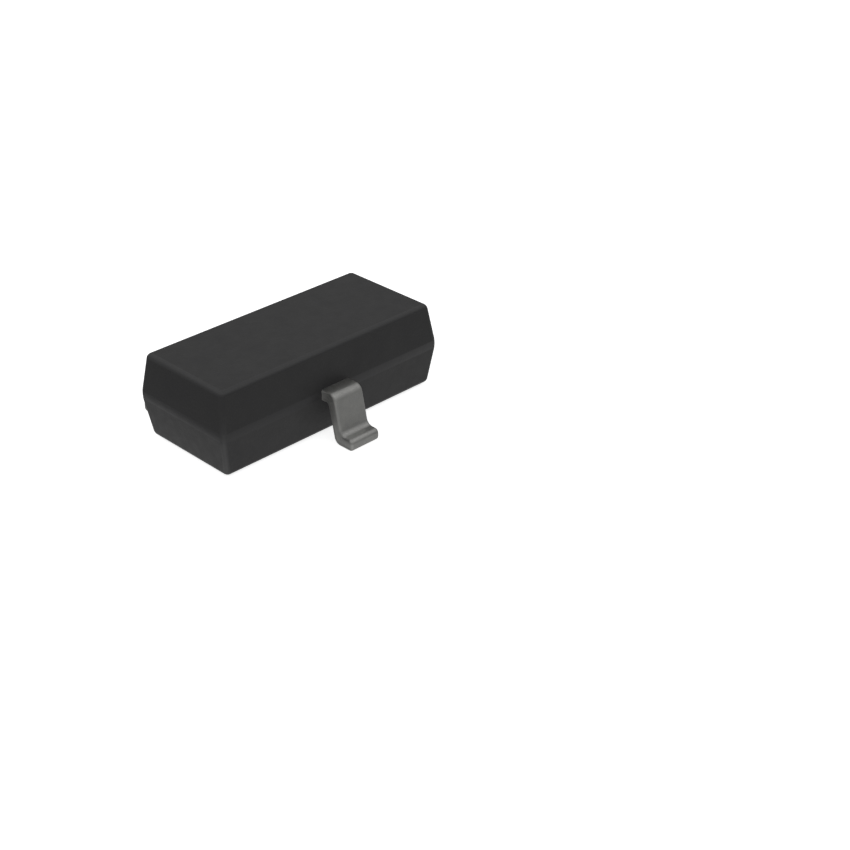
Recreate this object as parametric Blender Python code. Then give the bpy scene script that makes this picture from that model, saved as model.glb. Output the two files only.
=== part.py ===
"""Linear voltage regulator in a small three-lead surface-mount package.

A block of black epoxy is moulded round a stamped and formed lead frame. The
single lead carries the silicon die on its paddle, and fine gold wires join the
die to the three leads. The origin is on the circuit board under the middle of
the part: +X runs along the moulded block, +Z points up off the board, the single
lead reaches out to -Y and the pair of leads to +Y. All sizes are in metres.
"""
import math

import bmesh
import bpy
from mathutils import Matrix, Vector

# Moulded body
BODY_LENGTH = 2.90e-3
BODY_WIDTH = 1.32e-3
BODY_ABOVE_PARTING = 0.46e-3
BODY_BELOW_PARTING = 0.47e-3
MOULD_DRAFT = math.radians(8.2)
BODY_EDGE_ROUND = 0.05e-3
STANDOFF = 0.02e-3

# Lead frame, stamped from one strip
LEAD_THICKNESS = 0.13e-3
LEAD_WIDTH = 0.38e-3
LEAD_PITCH = 1.90e-3
LEAD_SPAN = 2.18e-3
LEAD_EDGE_ROUND = 0.02e-3

# Gull-wing form of each lead
SHOULDER_REACH = 0.20e-3
LEG_LEAN = math.radians(12)
SHOULDER_OUTER_RADIUS = 0.09e-3
SHOULDER_INNER_RADIUS = 0.03e-3
HEEL_RADIUS = 0.09e-3
INSTEP_RADIUS = 0.07e-3
TOE_RADIUS = 0.05e-3

# Pads of the lead frame inside the body, coined a little thinner than the strip
COINING = 0.005e-3
PAD_COVER = 0.16e-3
PAD_CORNER_RADIUS = 0.04e-3
PADDLE_WIDTH = 1.24e-3
PADDLE_DEPTH = 0.66e-3
PADDLE_TO_POST = 0.12e-3
POST_WING = 0.08e-3
POST_END_COVER = 0.22e-3
STRIP_LAP = 0.05e-3

# Die and the layer that bonds it to the paddle
DIE_WIDTH = 0.60e-3
DIE_DEPTH = 0.44e-3
ATTACH_THICKNESS = 0.015e-3
ATTACH_MARGIN = 0.02e-3
ATTACH_FLARE = 0.012e-3

# Bond wires
WIRE_RADIUS = 0.0125e-3
BALL_RADIUS = 0.035e-3
BALL_HEIGHT = 0.030e-3
BALL_FOOT_ANGLE = math.radians(-50)
BALL_NECK_ANGLE = math.radians(70)
BOND_INSET = 0.07e-3
WIRE_COVER = 0.10e-3
LOOP_RISE = 0.09e-3
WIRE_KINK = 0.05e-3
STITCH_LENGTH = 0.06e-3
STITCH_WIDTH = 0.044e-3
STITCH_THICKNESS = 0.008e-3
DOWN_BOND_RUN = 0.28e-3

# Clearance between each piece and what it seats on or is moulded into
FIT_GAP = 0.004e-3

# Facets of the rounded forms, and the angle past which an edge is shaded as a crease
BODY_ROUND_STEPS = 6
LEAD_ROUND_STEPS = 4
BEND_STEPS = 8
WIRE_SIDES = 8
WIRE_STEPS = 7
BALL_STEPS = 4
CREASE_ANGLE = math.radians(30)

# Heights above the board that follow from the sizes
PARTING_Z = STANDOFF + BODY_BELOW_PARTING
BODY_TOP_Z = PARTING_Z + BODY_ABOVE_PARTING
PAD_HALF_THICKNESS = LEAD_THICKNESS / 2 - COINING
PAD_TOP_Z = PARTING_Z + PAD_HALF_THICKNESS
ATTACH_Z = PAD_TOP_Z + FIT_GAP
DIE_Z = ATTACH_Z + ATTACH_THICKNESS + FIT_GAP
STITCH_BOND_Z = PAD_TOP_Z + FIT_GAP
LOOP_Z = BODY_TOP_Z - WIRE_COVER - WIRE_RADIUS
BALL_BOND_Z = LOOP_Z - LOOP_RISE

# The die is ground thin enough to leave room for the loops under the top of the body
DIE_THICKNESS = BALL_BOND_Z - FIT_GAP - DIE_Z

# Distances from the middle plane, out along a lead
BODY_SIDE_Y = BODY_WIDTH / 2
PAD_OUTER_Y = BODY_SIDE_Y - PAD_COVER
STRIP_INNER_Y = PAD_OUTER_Y - STRIP_LAP
PADDLE_BACK_Y = PADDLE_DEPTH - PAD_OUTER_Y
POST_INNER_Y = PADDLE_BACK_Y + PADDLE_TO_POST

# The die sits in the middle of the paddle, clear of the strip's thicker end
DIE_Y = (PADDLE_BACK_Y - STRIP_INNER_Y) / 2


def clear_scene():
    for obj in list(bpy.data.objects):
        bpy.data.objects.remove(obj, do_unlink=True)


def material(name, colour, roughness, metallic):
    mat = bpy.data.materials.new(name)
    mat.use_nodes = True
    shader = mat.node_tree.nodes["Principled BSDF"]
    shader.inputs["Base Color"].default_value = (*colour, 1.0)
    shader.inputs["Roughness"].default_value = roughness
    shader.inputs["Metallic"].default_value = metallic
    return mat


def add_object(name, bm, parent, mat=None, at=(0, 0, 0), turn=0.0):
    """Turns a bmesh into a named object, placed at a point and turned about Z."""
    bmesh.ops.recalc_face_normals(bm, faces=bm.faces)
    mesh = bpy.data.meshes.new(name)
    bm.to_mesh(mesh)
    bm.free()
    mesh.shade_smooth()
    mesh.set_sharp_from_angle(angle=CREASE_ANGLE)
    if mat:
        mesh.materials.append(mat)
    obj = bpy.data.objects.new(name, mesh)
    bpy.context.collection.objects.link(obj)
    obj.parent = parent
    obj.location = at
    obj.rotation_euler.z = turn
    return obj


def add_tool(name, bm, parent, at, turn, target, operation):
    """Adds a hidden shape that is cut from, or joined to, the target."""
    tool = add_object(name, bm, parent, None, at, turn)
    tool.hide_render = True
    tool.display_type = "WIRE"
    mod = target.modifiers.new(name, "BOOLEAN")
    mod.operation = operation
    mod.solver = "EXACT"
    mod.object = tool


def loft(rings):
    """Closed solid through rings of points, with a flat face at each end."""
    bm = bmesh.new()
    rows = [[bm.verts.new(point) for point in ring] for ring in rings]
    count = len(rings[0])
    for row, following in zip(rows, rows[1:]):
        for i in range(count):
            j = (i + 1) % count
            bm.faces.new((row[i], row[j], following[j], following[i]))
    bm.faces.new(reversed(rows[0]))
    bm.faces.new(rows[-1])
    return bm


def round_all_edges(bm, width, steps):
    """Rounds every edge. Bevel works best near unit size, so the mesh is enlarged for it."""
    enlarge = 1 / BODY_LENGTH
    bmesh.ops.scale(bm, vec=Vector((enlarge,) * 3), verts=bm.verts)
    bmesh.ops.bevel(bm, geom=bm.edges, offset=width * enlarge, segments=steps, profile=0.5,
                    affect="EDGES")
    bmesh.ops.scale(bm, vec=Vector((1 / enlarge,) * 3), verts=bm.verts)


def rectangle(half_x, half_y, z):
    return [(-half_x, -half_y, z), (half_x, -half_y, z), (half_x, half_y, z), (-half_x, half_y, z)]


def slab(half_x, half_y, height, flare=0.0, grow=0.0):
    """Low block standing on its own origin, its foot wider than its top by the flare."""
    foot = rectangle(half_x + flare + grow, half_y + flare + grow, -grow)
    top = rectangle(half_x + grow, half_y + grow, height + grow)
    return loft([foot, top])


def outline(corners, inset=0.0):
    """Points of a closed anticlockwise outline, moved inwards by the inset.

    Each corner is (x, y, radius, steps). A rounded corner keeps its centre when the
    outline moves, so an outer corner tightens and an inner one opens.
    """
    points = []
    for i, (x, y, radius, steps) in enumerate(corners):
        corner = Vector((x, y))
        arriving = (corner - Vector(corners[i - 1][:2])).normalized()
        leaving = (Vector(corners[(i + 1) % len(corners)][:2]) - corner).normalized()
        half_turn = arriving.angle_signed(leaving, 0.0) / -2
        inwards = Vector((-arriving.y, arriving.x))
        inwards.rotate(Matrix.Rotation(half_turn, 2))
        corner += inwards * inset / math.cos(half_turn)
        if not steps:
            points.append(corner)
            continue
        bend = math.copysign(radius, half_turn) - inset
        centre = corner + inwards * bend / math.cos(half_turn)
        for step in range(steps + 1):
            spoke = inwards.copy()
            spoke.rotate(Matrix.Rotation(half_turn * (2 * step / steps - 1), 2))
            points.append(centre - spoke * bend)
    return points


def body_block():
    """Block with draft on every side above and below the parting line, all edges rounded."""
    # The sharp block is larger by what the rounding takes off at the parting line
    rounded_off = BODY_EDGE_ROUND * math.tan(MOULD_DRAFT / 2)
    rings = []
    for rise in (-BODY_BELOW_PARTING, 0.0, BODY_ABOVE_PARTING):
        drawn_in = abs(rise) * math.tan(MOULD_DRAFT) - rounded_off
        rings.append(rectangle(BODY_LENGTH / 2 - drawn_in, BODY_SIDE_Y - drawn_in, PARTING_Z + rise))
    bm = loft(rings)
    round_all_edges(bm, BODY_EDGE_ROUND, BODY_ROUND_STEPS)
    return bm


def gull_wing(grow=0.0):
    """Formed strip in its lead's own frame: its width along X, out of the body along +Y."""
    leg_slope = math.tan(LEG_LEAN)
    leg_depth = LEAD_THICKNESS / math.cos(LEG_LEAN)

    def leg_front(z):
        return BODY_SIDE_Y + SHOULDER_REACH + (PARTING_Z - z) * leg_slope

    top = PARTING_Z + LEAD_THICKNESS / 2
    under = PARTING_Z - LEAD_THICKNESS / 2
    toe = LEAD_SPAN / 2
    side_view = [
        (STRIP_INNER_Y, under, 0, 0),
        (leg_front(under) - leg_depth, under, SHOULDER_INNER_RADIUS, BEND_STEPS // 2),
        (leg_front(0) - leg_depth, 0, HEEL_RADIUS, BEND_STEPS),
        (toe, 0, TOE_RADIUS, BEND_STEPS),
        (toe, LEAD_THICKNESS, TOE_RADIUS, BEND_STEPS),
        (leg_front(LEAD_THICKNESS), LEAD_THICKNESS, INSTEP_RADIUS, BEND_STEPS),
        (leg_front(top), top, SHOULDER_OUTER_RADIUS, BEND_STEPS),
        (STRIP_INNER_Y, top, 0, 0),
    ]
    one_edge = []
    for step in range(LEAD_ROUND_STEPS + 1):
        angle = math.pi / 2 * step / LEAD_ROUND_STEPS
        x = LEAD_WIDTH / 2 - LEAD_EDGE_ROUND * (1 - math.cos(angle)) + grow
        one_edge.append((x, LEAD_EDGE_ROUND * (1 - math.sin(angle)) - grow))
    across = [(-x, inset) for x, inset in one_edge] + one_edge[::-1]
    return loft([[(x, y, z) for y, z in outline(side_view, inset)] for x, inset in across])


def pad(x0, x1, y0, y1, grow=0.0):
    """Flat pad at the inner end of a lead, in that lead's own frame."""
    corner = (PAD_CORNER_RADIUS, BEND_STEPS // 2)
    plan = [(x0, y0, *corner), (x1, y0, *corner), (x1, y1, *corner), (x0, y1, *corner)]
    half = PAD_HALF_THICKNESS + grow
    edge = outline(plan, -grow)
    return loft([[(x, y, PARTING_Z + z) for x, y in edge] for z in (-half, half)])


def wire(run, grow=0.0):
    """Gold wire in the XZ plane: ball bond at the origin, loop, then a flat stitch bond."""
    wire_radius = WIRE_RADIUS + grow
    landing = STITCH_BOND_Z - BALL_BOND_Z
    lead_in = run - STITCH_LENGTH
    stations = []

    # Ball, squashed flat against the die
    ball_foot = math.sin(BALL_FOOT_ANGLE)
    ball_neck = math.sin(BALL_NECK_ANGLE)
    for step in range(BALL_STEPS + 1):
        angle = BALL_FOOT_ANGLE + (BALL_NECK_ANGLE - BALL_FOOT_ANGLE) * step / BALL_STEPS
        level = (math.sin(angle) - ball_foot) / (ball_neck - ball_foot)
        z = BALL_HEIGHT * level - (grow if step == 0 else 0)
        radius = BALL_RADIUS * math.cos(angle) + grow
        stations.append((0, z, radius, radius, math.pi / 2))

    # Neck, bent over into the loop
    reach = LOOP_RISE - BALL_HEIGHT
    for step in range(1, WIRE_STEPS):
        angle = math.pi / 2 * step / WIRE_STEPS
        x = WIRE_KINK * (1 - math.cos(angle))
        z = BALL_HEIGHT + reach * math.sin(angle)
        slope = math.atan2(reach * math.cos(angle), WIRE_KINK * math.sin(angle))
        stations.append((x, z, wire_radius, wire_radius, slope))

    # Loop, falling to the pad
    span = lead_in - WIRE_KINK
    fall = LOOP_RISE - landing - WIRE_RADIUS
    for step in range(WIRE_STEPS + 1):
        share = step / WIRE_STEPS
        slope = math.atan2(-2 * fall * share, span)
        z = LOOP_RISE - fall * share**2
        stations.append((WIRE_KINK + span * share, z, wire_radius, wire_radius, slope))

    # Stitch, pressed flat on the pad
    half_width = STITCH_WIDTH / 2
    half_thickness = STITCH_THICKNESS / 2
    stations.append((run + grow, landing + half_thickness, half_width + grow, half_thickness + grow, 0))

    rings = []
    for x, z, across, thick, slope in stations:
        ring = []
        for i in range(WIRE_SIDES):
            angle = math.tau * (i + 0.5) / WIRE_SIDES
            up = thick * math.sin(angle)
            ring.append((x - up * math.sin(slope), across * math.cos(angle), z + up * math.cos(slope)))
        rings.append(ring)
    return loft(rings)


def build():
    clear_scene()
    package = bpy.data.objects.new("package", None)
    bpy.context.collection.objects.link(package)

    epoxy = material("moulding_epoxy", (0.030, 0.030, 0.031), 0.55, 0.0)
    tin = material("tin_plated_copper_alloy", (0.42, 0.42, 0.43), 0.38, 1.0)
    silver_glue = material("silver_filled_glue", (0.50, 0.50, 0.48), 0.60, 0.0)
    silicon = material("silicon", (0.12, 0.13, 0.15), 0.25, 0.0)
    gold = material("gold", (0.94, 0.66, 0.25), 0.25, 1.0)

    body = add_object("body", body_block(), package, epoxy)

    def place(name, shape, mat, at, turn=0.0):
        """Adds a piece, and moulds the body round it with the fit gap."""
        piece = add_object(name, shape(), package, mat, at, turn)
        add_tool(f"cavity_{name}", shape(grow=FIT_GAP), package, at, turn, body, "DIFFERENCE")
        return piece

    # The wide pad of a rear lead runs from beside the strip to near the body's end
    post_near = LEAD_WIDTH / 2 + POST_WING
    post_far = BODY_LENGTH / 2 - POST_END_COVER - LEAD_PITCH / 2
    post = (POST_INNER_Y, PAD_OUTER_Y)
    paddle = (-PADDLE_BACK_Y, PAD_OUTER_Y)
    leads = (
        ("lead_1", LEAD_PITCH / 2, 0.0, (-post_near, post_far, *post)),
        ("lead_2", -LEAD_PITCH / 2, 0.0, (-post_far, post_near, *post)),
        ("lead_3", 0.0, math.pi, (-PADDLE_WIDTH / 2, PADDLE_WIDTH / 2, *paddle)),
    )
    for name, x, turn, pad_sides in leads:
        at = (x, 0, 0)
        lead = place(name, gull_wing, tin, at, turn)
        add_tool(f"{name}_pad", pad(*pad_sides), package, at, turn, lead, "UNION")
        add_tool(f"cavity_{name}_pad", pad(*pad_sides, grow=FIT_GAP), package, at, turn, body,
                 "DIFFERENCE")

    def attach_layer(grow=0.0):
        return slab(DIE_WIDTH / 2 + ATTACH_MARGIN, DIE_DEPTH / 2 + ATTACH_MARGIN, ATTACH_THICKNESS,
                    ATTACH_FLARE, grow)

    def sawn_die(grow=0.0):
        return slab(DIE_WIDTH / 2, DIE_DEPTH / 2, DIE_THICKNESS, grow=grow)

    place("die_attach", attach_layer, silver_glue, (0, DIE_Y, ATTACH_Z))
    place("die", sawn_die, silicon, (0, DIE_Y, DIE_Z))

    # Two wires cross to the posts of the rear leads, and one drops to the paddle
    bond_x = DIE_WIDTH / 2 - BOND_INSET
    bond_y = DIE_DEPTH / 2 - BOND_INSET
    post_x = LEAD_PITCH / 2 - LEAD_WIDTH / 4
    post_y = (POST_INNER_Y + STRIP_INNER_Y) / 2
    bonds = (
        ("bond_wire_1", (bond_x, DIE_Y + bond_y), (post_x, post_y)),
        ("bond_wire_2", (-bond_x, DIE_Y + bond_y), (-post_x, post_y)),
        ("bond_wire_3", (bond_x, DIE_Y - bond_y), (bond_x + DOWN_BOND_RUN, DIE_Y - bond_y)),
    )
    for name, start, end in bonds:
        across = Vector(end) - Vector(start)

        def shape(grow=0.0, run=across.length):
            return wire(run, grow)

        place(name, shape, gold, (*start, BALL_BOND_Z), math.atan2(across.y, across.x))


build()
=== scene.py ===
# %% [markdown]
# # A linear voltage regulator in a three-lead surface-mount package
#
# The real part is a crumb: a block of black epoxy about three millimetres long, with
# one tin-plated lead at the front and two at the back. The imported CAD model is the
# fixed frame. This lesson dresses it: it builds the block and the leads again with
# fine, smooth surfaces in exactly the same places, gives each its real finish, and
# sets up a small photo studio round them.

import math

import bmesh
import bpy
from mathutils import Matrix, Vector


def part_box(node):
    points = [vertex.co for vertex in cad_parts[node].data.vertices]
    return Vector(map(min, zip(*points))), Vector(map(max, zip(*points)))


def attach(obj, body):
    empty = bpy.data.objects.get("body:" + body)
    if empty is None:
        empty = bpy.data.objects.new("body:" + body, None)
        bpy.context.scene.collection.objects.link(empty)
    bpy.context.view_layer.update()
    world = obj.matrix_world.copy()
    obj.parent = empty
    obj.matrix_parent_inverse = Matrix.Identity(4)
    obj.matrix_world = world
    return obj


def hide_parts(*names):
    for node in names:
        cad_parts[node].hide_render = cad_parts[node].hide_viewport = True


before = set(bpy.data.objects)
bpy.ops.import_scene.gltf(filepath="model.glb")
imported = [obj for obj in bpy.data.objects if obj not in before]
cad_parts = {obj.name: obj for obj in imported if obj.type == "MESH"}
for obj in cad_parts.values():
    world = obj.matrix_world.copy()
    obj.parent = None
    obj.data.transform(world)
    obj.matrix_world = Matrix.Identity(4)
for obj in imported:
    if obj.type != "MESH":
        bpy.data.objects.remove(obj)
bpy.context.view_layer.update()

# %% [markdown]
# ## Sizes
#
# Everything is placed in metres, because the frame is, but parts this small are easier
# to read in millimetres. So each mesh is drawn in millimetres and scaled down at the
# end. That also keeps Blender's bevels and merges well away from their smallest
# distances. The overall sizes come from the frame's own boxes. The bends and the
# block's roundings repeat the values of the model. The leads' long edges are a little
# softer than there, as on the real part.

# %% Sizes of the block and of the leads, in millimetres
MM = 0.001

block_low, block_high = (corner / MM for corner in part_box("body"))
lead_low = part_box("lead_3")[0] / MM

BLOCK_LENGTH = block_high.x - block_low.x
BLOCK_WIDTH = block_high.y - block_low.y
PARTING_HEIGHT = 0.49
MOULD_DRAFT = math.radians(8.2)
BLOCK_ROUNDING = 0.05

STRIP_THICKNESS = 0.13
STRIP_WIDTH = 0.38
STRIP_ROUNDING = 0.03
STRIP_ROOT = 0.45  # where the strip starts inside the block
TOE_REACH = -lead_low.y
SHOULDER_REACH = 0.20
LEG_LEAN = math.radians(12)
LEAD_PITCH = 1.90

print("block:", round(BLOCK_LENGTH, 3), "x", round(BLOCK_WIDTH, 3), "mm")
print("toe reach:", round(TOE_REACH, 3), "mm")

# %% [markdown]
# ## From millimetres to a finished object
#
# A bmesh is a loose bag of points and faces. This helper turns it into an object: it
# shrinks it to metres, makes the faces point outwards, shades it smooth and lets it
# ride with the frame's only body. Smooth shading alone would bend the light over the
# flats too. The Weighted Normal modifier makes the big flat faces decide, so a flat
# stays flat right up to its rounded edge.


# %% Finish a mesh
WEIGHT_OF_FLATS = 100


def finish_piece(name, bm):
    bmesh.ops.recalc_face_normals(bm, faces=bm.faces)
    bmesh.ops.scale(bm, vec=Vector((MM, MM, MM)), verts=bm.verts)
    mesh = bpy.data.meshes.new(name)
    bm.to_mesh(mesh)
    bm.free()
    mesh.shade_smooth()
    piece = bpy.data.objects.new(name, mesh)
    bpy.context.scene.collection.objects.link(piece)
    shading = piece.modifiers.new("flats_stay_flat", "WEIGHTED_NORMAL")
    shading.weight = WEIGHT_OF_FLATS
    shading.keep_sharp = True
    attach(piece, "root")
    return piece


def loft(bm, rings):
    """Skins closed rings of points one after another, with a face at each end."""
    rows = [[bm.verts.new(point) for point in ring] for ring in rings]
    for row, following in zip(rows, rows[1:]):
        for i in range(len(row)):
            j = (i + 1) % len(row)
            bm.faces.new((row[i], row[j], following[j], following[i]))
    bm.faces.new(reversed(rows[0]))
    bm.faces.new(rows[-1])
    return rows


print("helpers for pieces: finish_piece, loft")

# %% [markdown]
# ## The moulded block
#
# Epoxy is pressed into a steel mould in two halves, and each half leans outwards a
# little so that the block lets go. That is why the block is widest along the middle.
# The block is drawn as three rectangles, at the underside, the parting line and the
# top, and one bevel then rounds every edge at once. Drawing each rounding by hand would
# give the same shape with far more code. The points in the middle of a rounding are
# marked, because the finish is a little smoother there and carries a painted highlight
# that makes it paler.


# %% Block of black epoxy
def rectangle_at(height):
    # The bevel shaves the blunt edge of the parting line, so the rectangles start larger
    shaved = BLOCK_ROUNDING * math.tan(MOULD_DRAFT / 2)
    inwards = abs(height - PARTING_HEIGHT) * math.tan(MOULD_DRAFT) - shaved
    x = BLOCK_LENGTH / 2 - inwards
    y = BLOCK_WIDTH / 2 - inwards
    return [(-x, -y, height), (x, -y, height), (x, y, height), (-x, y, height)]


BLOCK_ROUND_STEPS = 14

bm = bmesh.new()
on_rounding = bm.verts.layers.float.new("on_rounding")
loft(bm, [rectangle_at(z) for z in (block_low.z, PARTING_HEIGHT, block_high.z)])
rounded = bmesh.ops.bevel(bm, geom=bm.edges, offset=BLOCK_ROUNDING, segments=BLOCK_ROUND_STEPS,
                          profile=0.5, affect="EDGES")
rounding_faces = set(rounded["faces"])
for vert in bm.verts:
    vert[on_rounding] = float(rounding_faces.issuperset(vert.link_faces))
block = finish_piece("epoxy_block", bm)
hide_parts("body")
print("block faces:", len(block.data.polygons))

# %% [markdown]
# ## The leads
#
# A lead is a strip of thin copper alloy, stamped flat and then bent twice, at the
# shoulder and at the heel. Seen from the side it is one closed outline, so the outline
# comes first: straight runs with an arc at each bend. The outline is then repeated
# across the width. Near both sides it shrinks a little from one copy to the next,
# which rounds the four long edges as the stamping and the plating do.


# %% Side view of a lead
BEND_STEPS = 16


def side_view(corners, inset):
    """Closed outline with an arc at each corner, moved inwards by the inset."""
    points = []
    for i, (corner, radius) in enumerate(corners):
        corner = Vector(corner)
        arriving = (corner - Vector(corners[i - 1][0])).normalized()
        leaving = (Vector(corners[(i + 1) % len(corners)][0]) - corner).normalized()
        half_turn = arriving.angle_signed(leaving) / -2
        inwards = Vector((-arriving.y, arriving.x))
        inwards.rotate(Matrix.Rotation(half_turn, 2))
        corner += inwards * inset / math.cos(half_turn)
        bend = math.copysign(radius, half_turn) - inset if radius else 0
        centre = corner + inwards * bend / math.cos(half_turn)
        steps = BEND_STEPS if radius else 0
        for step in range(steps + 1):
            share = 2 * step / steps - 1 if steps else 0
            spoke = inwards.copy()
            spoke.rotate(Matrix.Rotation(half_turn * share, 2))
            points.append(centre - spoke * bend)
    return points


def leg_outer_face(z):
    return BLOCK_WIDTH / 2 + SHOULDER_REACH + (PARTING_HEIGHT - z) * math.tan(LEG_LEAN)


def leg_inner_face(z):
    return leg_outer_face(z) - STRIP_THICKNESS / math.cos(LEG_LEAN)


UNDER_SHOULDER_RADIUS = 0.03
OUTER_SHOULDER_RADIUS = 0.09
HEEL_RADIUS = 0.09
INSTEP_RADIUS = 0.07
TOE_RADIUS = 0.05
strip_top = PARTING_HEIGHT + STRIP_THICKNESS / 2
strip_under = PARTING_HEIGHT - STRIP_THICKNESS / 2
LEAD_CORNERS = [
    ((STRIP_ROOT, strip_under), 0),
    ((leg_inner_face(strip_under), strip_under), UNDER_SHOULDER_RADIUS),
    ((leg_inner_face(0), 0), HEEL_RADIUS),
    ((TOE_REACH, 0), TOE_RADIUS),
    ((TOE_REACH, STRIP_THICKNESS), TOE_RADIUS),
    ((leg_outer_face(STRIP_THICKNESS), STRIP_THICKNESS), INSTEP_RADIUS),
    ((leg_outer_face(strip_top), strip_top), OUTER_SHOULDER_RADIUS),
    ((STRIP_ROOT, strip_top), 0),
]
print("points in a side view:", len(side_view(LEAD_CORNERS, 0)))

# %% [markdown]
# ## Where a point lies on the flat strip
#
# The marks of rolling run along the strip, and the marks of the punch run through its
# thickness, and both follow the bends. So every point of a lead also remembers its
# place on the strip before it was bent: how far across, how far along and how deep. The
# middle line of the bent strip is a short chain of straight runs, and the nearest spot
# on that chain gives the place.

# %% Place on the unbent strip
MIDDLE_LINE = [
    Vector((STRIP_ROOT, PARTING_HEIGHT)),
    Vector(((leg_outer_face(strip_top) + leg_inner_face(strip_under)) / 2, PARTING_HEIGHT)),
    Vector(((leg_outer_face(STRIP_THICKNESS) + leg_inner_face(0)) / 2, STRIP_THICKNESS / 2)),
    Vector((TOE_REACH, STRIP_THICKNESS / 2)),
]


def place_on_strip(y, z):
    """How far along the strip a point of the side view is, and how deep in it."""
    point = Vector((y, z))
    travelled = 0
    found = []
    for start, end in zip(MIDDLE_LINE, MIDDLE_LINE[1:]):
        run = end - start
        along = max(0, min(run.length, (point - start).dot(run.normalized())))
        off = point - start - run.normalized() * along
        depth = math.copysign(off.length, run.x * off.y - run.y * off.x)
        found.append((off.length, travelled + along, depth))
        travelled += run.length
    return min(found)[1:]


print("toe, along the strip:", round(place_on_strip(TOE_REACH, STRIP_THICKNESS / 2)[0], 3), "mm")

# %% [markdown]
# ## Pads inside the block
#
# Each lead ends inside the block in a flat pad, stamped from the same sheet and pressed
# slightly thinner. The two rear leads carry a small post for a wire. The front lead
# carries the paddle under the silicon. A pad is a plain plate with rounded corners, and
# a Boolean joins it to the strip, so that a lead is one closed body as in the part.

# %% Plan of each pad, in its own lead's frame
PAD_THICKNESS = 0.12
PAD_CORNER_RADIUS = 0.04
PAD_OUTER_END = 0.50
# The left side, the right side and the inner end of each
PADS = {
    "lead_1": (-0.27, 0.28, 0.28),
    "lead_2": (-0.28, 0.27, 0.28),
    "lead_3": (-0.62, 0.62, -0.16),
}


def pad_mesh(left, right, inner):
    corners = [(left, inner), (right, inner), (right, PAD_OUTER_END), (left, PAD_OUTER_END)]
    edge = side_view([(corner, PAD_CORNER_RADIUS) for corner in corners], 0)
    bm = bmesh.new()
    loft(bm, [[(x, y, PARTING_HEIGHT + z) for x, y in edge]
              for z in (-PAD_THICKNESS / 2, PAD_THICKNESS / 2)])
    bmesh.ops.recalc_face_normals(bm, faces=bm.faces)
    return bm


print("paddle:", round(PADS["lead_3"][1] - PADS["lead_3"][0], 2), "mm wide")

# %% One lead, from its copies across the width
EDGE_STEPS = 6


def lead_mesh():
    edge = []
    for step in range(EDGE_STEPS + 1):
        angle = math.pi / 2 * step / EDGE_STEPS
        x = STRIP_WIDTH / 2 - STRIP_ROUNDING * (1 - math.cos(angle))
        edge.append((x, STRIP_ROUNDING * (1 - math.sin(angle))))
    across = [(-x, inset) for x, inset in edge] + edge[::-1]
    bm = bmesh.new()
    strip_place = bm.verts.layers.float_vector.new("strip_place")
    rows = loft(bm, [[(x, y, z) for y, z in side_view(LEAD_CORNERS, inset)] for x, inset in across])
    for row in rows:
        for vert in row:
            along, depth = place_on_strip(vert.co.y, vert.co.z)
            vert[strip_place] = (vert.co.x, along, depth)
    bmesh.ops.recalc_face_normals(bm, faces=bm.faces)
    return bm


def joined(first, second):
    """The Boolean union of two closed bmeshes, as a new bmesh."""
    solids = []
    for bm in (first, second):
        mesh = bpy.data.meshes.new("solid")
        bm.to_mesh(mesh)
        bm.free()
        solids.append(bpy.data.objects.new("solid", mesh))
        bpy.context.scene.collection.objects.link(solids[-1])
    union = solids[0].modifiers.new("union", "BOOLEAN")
    union.operation = "UNION"
    union.solver = "EXACT"
    union.object = solids[1]
    result = bmesh.new()
    result.from_object(solids[0], bpy.context.evaluated_depsgraph_get())
    for solid in solids:
        bpy.data.objects.remove(solid)
    return result


print("copies across a lead:", 2 * (EDGE_STEPS + 1))

# %% All three leads
LEADS = {
    "lead_1": Matrix.Translation((LEAD_PITCH / 2, 0, 0)),
    "lead_2": Matrix.Translation((-LEAD_PITCH / 2, 0, 0)),
    "lead_3": Matrix.Rotation(math.pi, 4, "Z"),
}
leads = []
for node, place in LEADS.items():
    bm = joined(lead_mesh(), pad_mesh(*PADS[node]))
    bmesh.ops.transform(bm, matrix=place, verts=bm.verts)
    lead = finish_piece(f"tinned_{node}", bm)
    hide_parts(node)
    leads.append(lead)
    print(node, "faces:", len(lead.data.polygons))

# %% [markdown]
# ## Colours and nodes
#
# A colour picked from a screen is stored in sRGB, which is bent to suit the eye, but
# the renderer adds light up in linear values. One function turns the usual hex value to
# linear. A second one adds a node, sets it up, links it and hands back its result, so
# that a material reads from top to bottom like a recipe. Patterns are sized in
# millimetres: a texture's scale is how many of its cells fit in a metre.


# %% Helpers for materials
def paint(hex_colour):
    channels = [int(hex_colour[i:i + 2], 16) / 255 for i in (1, 3, 5)]
    linear = [c / 12.92 if c <= 0.04045 else ((c + 0.055) / 1.055) ** 2.4 for c in channels]
    return (*linear, 1.0)


def plug(node, **sockets):
    """Gives a node's sockets, by name, a value or a link."""
    for name, value in sockets.items():
        target = next(s for s in node.inputs
                      if s.enabled and name in (s.identifier, s.name.replace(" ", "_")))
        if isinstance(value, bpy.types.NodeSocket):
            node.id_data.links.new(value, target)
        else:
            target.default_value = value


def add_node(tree, kind, settings=None, result=None, **sockets):
    """Adds a node with its options, values and links, and returns the socket of its result."""
    node = tree.nodes.new(kind)
    for option, value in (settings or {}).items():
        setattr(node, option, value)
    plug(node, **sockets)
    return node.outputs[result] if result else next(s for s in node.outputs if s.enabled)


def new_material(name, **constants):
    """A material whose Principled shader has these constants set."""
    material = bpy.data.materials.new(name)
    material.use_nodes = True
    shader = material.node_tree.nodes["Principled BSDF"]
    plug(shader, **constants)
    return material, material.node_tree, shader


def cells_of(size):
    """Texture scale whose cells are this many millimetres wide, for coordinates in metres."""
    return 1 / (size * MM)


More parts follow.
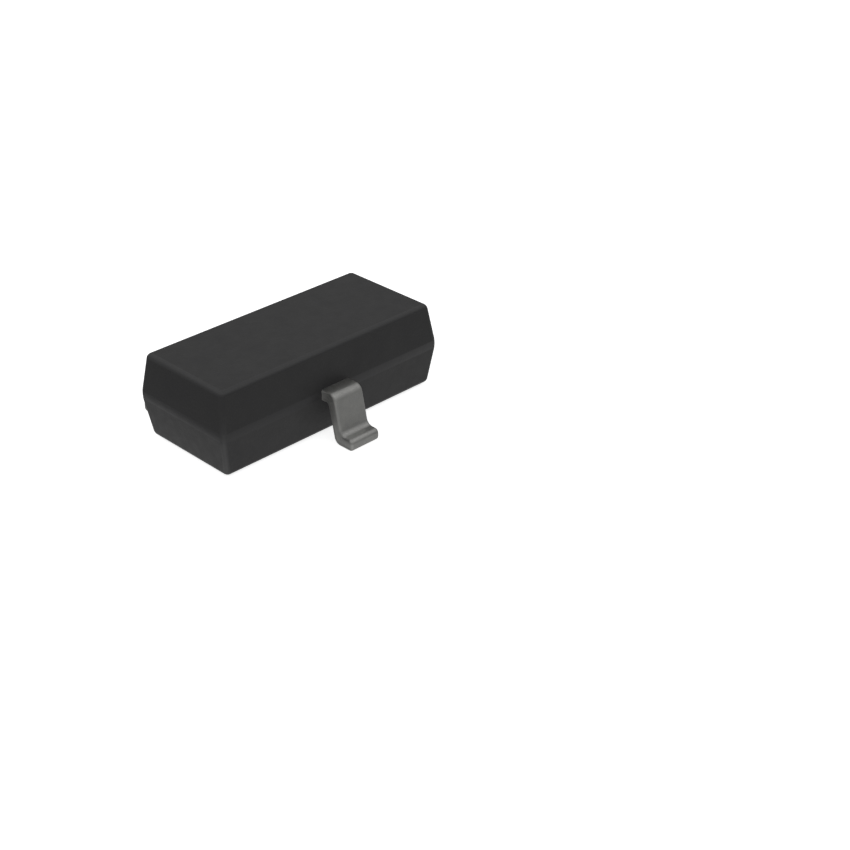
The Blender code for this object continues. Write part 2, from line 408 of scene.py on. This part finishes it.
COLOUR = {"data_type": "RGBA"}
NUMBER = {"data_type": "FLOAT"}
MOST_OF_THE_NOISE = {"From_Min": 0.3, "From_Max": 0.7}
print("a mid grey, linear:", [round(channel, 3) for channel in paint("#808080")[:3]])

# %% [markdown]
# ## Black epoxy
#
# The block is transfer-moulded from epoxy filled with fine silica and carbon black. The
# steel mould is spark-eroded, so it prints a field of shallow craters some 25
# micrometres wide. The eye sees a satin charcoal whose gloss wavers a little from place
# to place. The mould wears smooth on its edges first, so the roundings shine slightly
# more than the flats, and a painted highlight colours them a little paler as well. An
# image could show all this from one distance. Textures worked out from the point itself
# stay sharp from every distance and need no unwrapping.

# %% Epoxy moulding compound, clouded where the resin flowed
FLOW_MARK_WIDTH = 0.45

epoxy, tree, shader = new_material("moulded_black_epoxy", IOR=1.55)
where = add_node(tree, "ShaderNodeTexCoord", result="Object")
flow = add_node(tree, "ShaderNodeTexNoise", Vector=where, Scale=cells_of(FLOW_MARK_WIDTH),
                Detail=3.0)
cloud = add_node(tree, "ShaderNodeMapRange", Value=flow, **MOST_OF_THE_NOISE)
black = add_node(tree, "ShaderNodeMix", COLOUR, Factor=cloud, A=paint("#212122"), B=paint("#262626"))
print("flow marks:", FLOW_MARK_WIDTH, "mm wide")

# %% Pale grains of silica just under the skin
FILLER_GRAIN = 0.03
GRAIN_EDGE = 0.25
GRAIN_HEART = 0.10

grain = add_node(tree, "ShaderNodeTexVoronoi", Vector=where, Scale=cells_of(FILLER_GRAIN))
speck = add_node(tree, "ShaderNodeMapRange", Value=grain, From_Min=GRAIN_EDGE,
                 From_Max=GRAIN_HEART)
speckled = add_node(tree, "ShaderNodeMix", COLOUR, Factor=speck, A=black, B=paint("#2D2D2E"))
print("silica grains:", FILLER_GRAIN, "mm apart")

# %% Painted highlight: the roundings are coloured a little paler than the flats
rounding = add_node(tree, "ShaderNodeAttribute", {"attribute_name": "on_rounding"}, "Fac")
# The paler black on the roundings is a painted highlight along the block's edges.
painted_edge_highlight = add_node(tree, "ShaderNodeMix", COLOUR, Factor=rounding, A=speckled, B=paint("#2A2A2B"))
plug(shader, Base_Color=painted_edge_highlight)
print("paler on roundings of", BLOCK_ROUNDING, "mm")

# %% Craters of the spark-eroded mould
CRATER_WIDTH = 0.025
CRATER_DEPTH = 0.0006

crater = add_node(tree, "ShaderNodeTexVoronoi", Vector=where, Scale=cells_of(CRATER_WIDTH))
skin = add_node(tree, "ShaderNodeBump", Height=crater, Distance=CRATER_DEPTH * MM)
plug(shader, Normal=skin)
print("craters:", CRATER_WIDTH, "mm wide and", CRATER_DEPTH, "mm deep")

# %% Gloss: satin flats, and roundings that are a little smoother
FLAT_ROUGHNESS = (0.46, 0.54)
ROUNDING_ROUGHNESS = (0.36, 0.44)
WAVER_WIDTH = 4 * CRATER_WIDTH

smoothest, roughest = (
    add_node(tree, "ShaderNodeMapRange", Value=rounding, To_Min=on_flat, To_Max=on_edge)
    for on_flat, on_edge in zip(FLAT_ROUGHNESS, ROUNDING_ROUGHNESS))
waver = add_node(tree, "ShaderNodeTexNoise", Vector=where, Scale=cells_of(WAVER_WIDTH), Detail=4.0)
satin = add_node(tree, "ShaderNodeMapRange", Value=waver, To_Min=smoothest, To_Max=roughest,
                 **MOST_OF_THE_NOISE)
plug(shader, Roughness=satin)
block.data.materials.append(epoxy)
print("nodes in the epoxy:", len(tree.nodes))

# %% [markdown]
# ## Matt tin
#
# The leads are a copper alloy, electroplated with ten micrometres of pure tin from a
# bath without brighteners. The tin grows as a crust of crystals three to eight
# micrometres wide, and each lies its own way: some scatter the light and others shine.
# So the eye sees soft, pale satin with a faint gleam along the bends. Under the crust
# the broad faces keep lines from the rolling of the sheet. The two sides were cut by a
# punch, and show scoring through the thickness and a duller torn band. One roughness
# for the whole lead would look like paint, so every crystal draws its own, by chance.

# %% Crystals of tin
# A crystal is finer than a pixel of the render, so there the crystals only show as satin.
CRYSTAL_WIDTH = 0.006
HAZE_WIDTH = 0.09

tin, tree, shader = new_material("matt_tin_plating", Metallic=1.0)
where = add_node(tree, "ShaderNodeTexCoord", result="Object")
crystal = add_node(tree, "ShaderNodeTexVoronoi", result="Color", Vector=where,
                   Scale=cells_of(CRYSTAL_WIDTH))
chance = add_node(tree, "ShaderNodeSeparateColor", Color=crystal)
haze = add_node(tree, "ShaderNodeTexNoise", Vector=where, Scale=cells_of(HAZE_WIDTH), Detail=5.0)
hazy = add_node(tree, "ShaderNodeMapRange", Value=haze, **MOST_OF_THE_NOISE)
pale = add_node(tree, "ShaderNodeMix", COLOUR, Factor=hazy, A=paint("#A5A5A3"), B=paint("#ACACA9"))
print("crystals:", CRYSTAL_WIDTH, "mm wide, haze:", HAZE_WIDTH, "mm")

# %% Rolling lines on the broad faces, scoring from the punch on the sides
# Sizes of a mark across, along and through the strip. Real ones are finer than a pixel,
# so these are drawn as coarse as they need to show.
ROLLING_LINE = (0.010, 0.40, 0.40)
PUNCH_LINE = (0.40, 0.010, 0.15)
SIDE_STARTS = STRIP_WIDTH / 2 - STRIP_ROUNDING
SIDE_IS_FULL = STRIP_WIDTH / 2 - 0.3 * STRIP_ROUNDING

strip = add_node(tree, "ShaderNodeAttribute", {"attribute_name": "strip_place"}, "Vector")
across = add_node(tree, "ShaderNodeSeparateXYZ", Vector=strip)
depth = across.node.outputs["Z"]
lines = []
for size in (ROLLING_LINE, PUNCH_LINE):
    stretched = add_node(tree, "ShaderNodeMapping", Vector=strip, Scale=[1 / mark for mark in size])
    lines.append(add_node(tree, "ShaderNodeTexNoise", Vector=stretched, Scale=1.0, Detail=2.0))
off_middle = add_node(tree, "ShaderNodeMath", {"operation": "ABSOLUTE"}, Value=across)
side = add_node(tree, "ShaderNodeMapRange", Value=off_middle, From_Min=SIDE_STARTS,
                From_Max=SIDE_IS_FULL)
score = add_node(tree, "ShaderNodeMix", NUMBER, Factor=side, A=lines[0], B=lines[1])
print("lines:", ROLLING_LINE[0], "mm apart on the faces,", PUNCH_LINE[1], "mm on the sides")

# %% The torn band, in the lower part of each side
# Depth is measured from the middle of the strip, and is negative below it.
TEAR_STARTS = -0.015
TEAR_IS_FULL = -0.027

torn_edge = add_node(tree, "ShaderNodeMapRange", Value=depth, From_Min=TEAR_STARTS,
                     From_Max=TEAR_IS_FULL)
torn = add_node(tree, "ShaderNodeMath", {"operation": "MULTIPLY"}, Value=torn_edge, Value_001=side)
dulled = add_node(tree, "ShaderNodeMix", COLOUR, Factor=torn, A=pale, B=paint("#9A9A98"))
plug(shader, Base_Color=dulled)
print("torn band:", round(STRIP_THICKNESS / 2 + TEAR_STARTS, 3), "mm of", STRIP_THICKNESS, "mm")

# %% Relief and gloss of the tin
CRYSTAL_RELIEF = 0.00004
LINE_RELIEF = 0.0002
SHINING = 0.28
SCATTERING = 0.6
ALL_SCATTER_ABOVE = 0.7

crust = add_node(tree, "ShaderNodeBump", Height=chance, Distance=CRYSTAL_RELIEF * MM)
scored = add_node(tree, "ShaderNodeBump", Height=score, Distance=LINE_RELIEF * MM, Normal=crust)
plug(shader, Normal=scored)
lie = add_node(tree, "ShaderNodeMapRange", Value=chance, From_Max=ALL_SCATTER_ABOVE,
               To_Min=SHINING, To_Max=SCATTERING)
rougher = add_node(tree, "ShaderNodeMix", NUMBER, Factor=torn, A=lie, B=SCATTERING)
plug(shader, Roughness=rougher)
for lead in leads:
    lead.data.materials.append(tin)
print("nodes in the tin:", len(tree.nodes))

# %% [markdown]
# ## What the block hides
#
# The silicon, the glue under it and the gold wires keep their CAD shapes, which are
# right as they are, and only their material slots are filled. Nobody sees them in the
# closed block, but the model can be taken apart, so each gets its real finish too. The
# glue is grey resin thick with silver flakes, and the eye sees it glitter. The silicon
# is ground and polished, then sealed with glassy nitride, so it mirrors and shows the
# blocks of its circuit. The gold was drawn through a die, and fine marks break its shine.

# %% Silver-filled glue
FLAKE_WIDTH = 0.008
FLAKE_EDGE = 0.45
FLAKE_HEART = 0.15
FLAKE_RELIEF = 0.001
RESIN_ROUGHNESS = 0.65
FLAKE_ROUGHNESS = 0.35

glue, tree, shader = new_material("silver_filled_glue", IOR=1.5)
where = add_node(tree, "ShaderNodeTexCoord", result="Object")
flake = add_node(tree, "ShaderNodeTexVoronoi", Vector=where, Scale=cells_of(FLAKE_WIDTH))
bright = add_node(tree, "ShaderNodeMapRange", Value=flake, From_Min=FLAKE_EDGE,
                  From_Max=FLAKE_HEART)
silvery = add_node(tree, "ShaderNodeMix", COLOUR, Factor=bright, A=paint("#8D8C88"),
                   B=paint("#D9D8D2"))
glitter = add_node(tree, "ShaderNodeMapRange", Value=bright, To_Min=RESIN_ROUGHNESS,
                   To_Max=FLAKE_ROUGHNESS)
uneven = add_node(tree, "ShaderNodeBump", Height=flake, Distance=FLAKE_RELIEF * MM)
plug(shader, Metallic=bright, Base_Color=silvery, Roughness=glitter, Normal=uneven)
print("flakes:", FLAKE_WIDTH, "mm wide")

# %% Passivated silicon
CIRCUIT_BLOCK = 0.035
BLOCK_CONTRAST = {"From_Min": 0.2, "From_Max": 0.8}

silicon, tree, shader = new_material("passivated_silicon", IOR=2.0, Roughness=0.18)
where = add_node(tree, "ShaderNodeTexCoord", result="Object")
blocks = add_node(tree, "ShaderNodeTexVoronoi", {"distance": "CHEBYCHEV"}, "Color", Vector=where,
                  Scale=cells_of(CIRCUIT_BLOCK), Randomness=0.75)
circuit = add_node(tree, "ShaderNodeMapRange", Value=blocks, **BLOCK_CONTRAST)
etched = add_node(tree, "ShaderNodeMix", COLOUR, Factor=circuit, A=paint("#4A5260"),
                  B=paint("#7E7A6C"))
plug(shader, Base_Color=etched)
print("circuit blocks:", CIRCUIT_BLOCK, "mm wide")

# %% Drawn gold
DRAWING_MARK = 0.006
BURNISHED = 0.15
SCRATCHED = 0.35

gold, tree, shader = new_material("drawn_gold", Metallic=1.0)
where = add_node(tree, "ShaderNodeTexCoord", result="Object")
marks = add_node(tree, "ShaderNodeTexNoise", Vector=where, Scale=cells_of(DRAWING_MARK), Detail=3.0)
golden = add_node(tree, "ShaderNodeMix", COLOUR, Factor=marks, A=paint("#F2C566"),
                  B=paint("#FFDC8C"))
drawn = add_node(tree, "ShaderNodeMapRange", Value=marks, To_Min=BURNISHED, To_Max=SCRATCHED)
plug(shader, Base_Color=golden, Roughness=drawn)
print("drawing marks:", DRAWING_MARK, "mm")

# %% Dress the inner pieces
INNER = {"die_attach": glue, "die": silicon, "bond_wire_1": gold, "bond_wire_2": gold,
         "bond_wire_3": gold}
for node, finish in INNER.items():
    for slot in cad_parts[node].material_slots:
        slot.material = finish
print("inner pieces:", ", ".join(INNER))

# %% [markdown]
# ## Studio
#
# The photograph is a plain product shot on a white light table, inside a tent of white
# cloth: the ground is white right up to the part, and almost no shadow is left. All the
# light comes from the sky round the part, whose lower half stands for the table and
# whose upper half for the tent. It is dimmer at the height of the part, where the cloth
# meets the table, and its four corners aren't equally bright. Area lamps could do the
# same, but they would show as hard shapes in the tin, and a painted sky stays soft. The
# pale floor and the white backdrop are only there for the camera, so they hold back no
# light from below.


# %% Things that only the camera sees
RAYS_LET_THROUGH = ("diffuse", "glossy", "transmission", "shadow")


def backdrop(name, bm, **finish):
    mesh = bpy.data.meshes.new(name)
    bmesh.ops.scale(bm, vec=Vector((MM, MM, MM)), verts=bm.verts)
    bm.to_mesh(mesh)
    bm.free()
    mesh.materials.append(new_material(name, Emission_Color=(1, 1, 1, 1), **finish)[0])
    thing = bpy.data.objects.new(name, mesh)
    bpy.context.scene.collection.objects.link(thing)
    for ray in RAYS_LET_THROUGH:
        setattr(thing, f"visible_{ray}", False)
    print(name, "faces:", len(mesh.polygons))


print("rays that a backdrop lets through:", ", ".join(RAYS_LET_THROUGH))

# %% Pale floor and white backdrop
FLOOR_RADIUS = 100
DOME_RADIUS = 101
FLOOR_GLOW = 0.8

bm = bmesh.new()
bmesh.ops.create_circle(bm, cap_ends=True, segments=96, radius=FLOOR_RADIUS)
backdrop("pale_floor", bm, Base_Color=paint("#F4F4F4"), Roughness=0.9, Emission_Strength=FLOOR_GLOW)

bm = bmesh.new()
bmesh.ops.create_uvsphere(bm, u_segments=32, v_segments=16, radius=DOME_RADIUS)
backdrop("white_backdrop", bm, Base_Color=(0, 0, 0, 1), Emission_Strength=1.0)

# %% Light table and tent
# Heights of a direction go from -1, straight down, to 1, straight up. The table shines
# up to its rim, and above the seam the cloth brightens up to the roof.
TABLE_ENDS = -0.6
RIM = -0.35
SEAM_STARTS = -0.15
SEAM_ENDS = 0.2
ROOF_STARTS = 0.75
# Brightness of the table, its rim, the seam and the roof, towards each corner of the
# tent. Every corner fades into the next. The rim is dark in the left corner behind,
# which the upper half of the block's left end mirrors to the camera.
CORNERS = {
    (1, 1): (0.50, 0.40, 0.25, 0.60),
    (-1, 1): (0.60, 0.00, 0.35, 0.80),
    (-1, -1): (0.95, 0.60, 0.25, 0.70),
    (1, -1): (0.45, 0.55, 0.25, 0.80),
}

world = bpy.data.worlds.new("studio")
world.use_nodes = True
tree = world.node_tree
direction = add_node(tree, "ShaderNodeTexCoord", result="Generated")
height = add_node(tree, "ShaderNodeSeparateXYZ", result="Z", Vector=direction)
up_the_tent = add_node(tree, "ShaderNodeMapRange", Value=height, From_Min=-1.0)
level = add_node(tree, "ShaderNodeVectorMath", {"operation": "MULTIPLY"}, Vector=direction,
                 Vector_001=(1, 1, 0))
compass = add_node(tree, "ShaderNodeVectorMath", {"operation": "NORMALIZE"}, Vector=level)
light = None
for (x, y), (table, rim, seam, roof) in CORNERS.items():
    cloth = add_node(tree, "ShaderNodeValToRGB", Fac=up_the_tent)
    stops = cloth.node.color_ramp.elements
    for change in (TABLE_ENDS, RIM, SEAM_STARTS, SEAM_ENDS, ROOF_STARTS):
        stops.new((change + 1) / 2)
    for stop, bright in zip(stops, (table, table, rim, seam, seam, roof, roof)):
        stop.color = (bright, bright, bright, 1.0)
    corner = Vector((x, y, 0)).normalized()
    facing = add_node(tree, "ShaderNodeVectorMath", {"operation": "DOT_PRODUCT"}, "Value",
                      Vector=compass, Vector_001=corner)
    near = add_node(tree, "ShaderNodeMath", {"operation": "MAXIMUM"}, Value=facing, Value_001=0.0)
    fade = add_node(tree, "ShaderNodeMath", {"operation": "MULTIPLY"}, Value=near, Value_001=near)
    lit = add_node(tree, "ShaderNodeVectorMath", {"operation": "SCALE"}, Vector=cloth, Scale=fade)
    if light:
        lit = add_node(tree, "ShaderNodeVectorMath", {"operation": "ADD"}, Vector=light,
                       Vector_001=lit)
    light = lit
plug(tree.nodes["Background"], Color=light)
bpy.context.scene.world = world
bpy.context.scene.view_settings.view_transform = "Standard"
print("nodes in the studio's light:", len(tree.nodes))

# %% [markdown]
# ## Camera
#
# The camera was found by fitting the block's straight edges to the photograph: it looks
# down by 30 degrees onto a corner of the block, from about 16 millimetres away. The
# block stands left of the middle of the picture, so the camera aims at a spot on the
# floor beside it.

# %% Camera
CAMERA_AZIMUTH = math.radians(-45)
CAMERA_HEIGHT_ANGLE = math.radians(30)
FIELD_OF_VIEW = math.radians(30)
AIM = Vector((0.712, -1.217, 0.01))
CAMERA_DISTANCE = 16.316
NEAREST_SEEN = 1
FARTHEST_SEEN = 1000

camera_data = bpy.data.cameras.new("camera")
camera_data.angle = FIELD_OF_VIEW
camera_data.clip_start = NEAREST_SEEN * MM
camera_data.clip_end = FARTHEST_SEEN * MM
camera = bpy.data.objects.new("camera", camera_data)
bpy.context.scene.collection.objects.link(camera)
over_ground = math.cos(CAMERA_HEIGHT_ANGLE)
back = Vector((math.sin(CAMERA_AZIMUTH) * over_ground, -math.cos(CAMERA_AZIMUTH) * over_ground,
               math.sin(CAMERA_HEIGHT_ANGLE)))
camera.location = (AIM + back * CAMERA_DISTANCE) * MM
camera.rotation_euler = (-back).to_track_quat("-Z", "Y").to_euler()
bpy.context.scene.camera = camera
print("camera in mm:", [round(side / MM, 2) for side in camera.location])
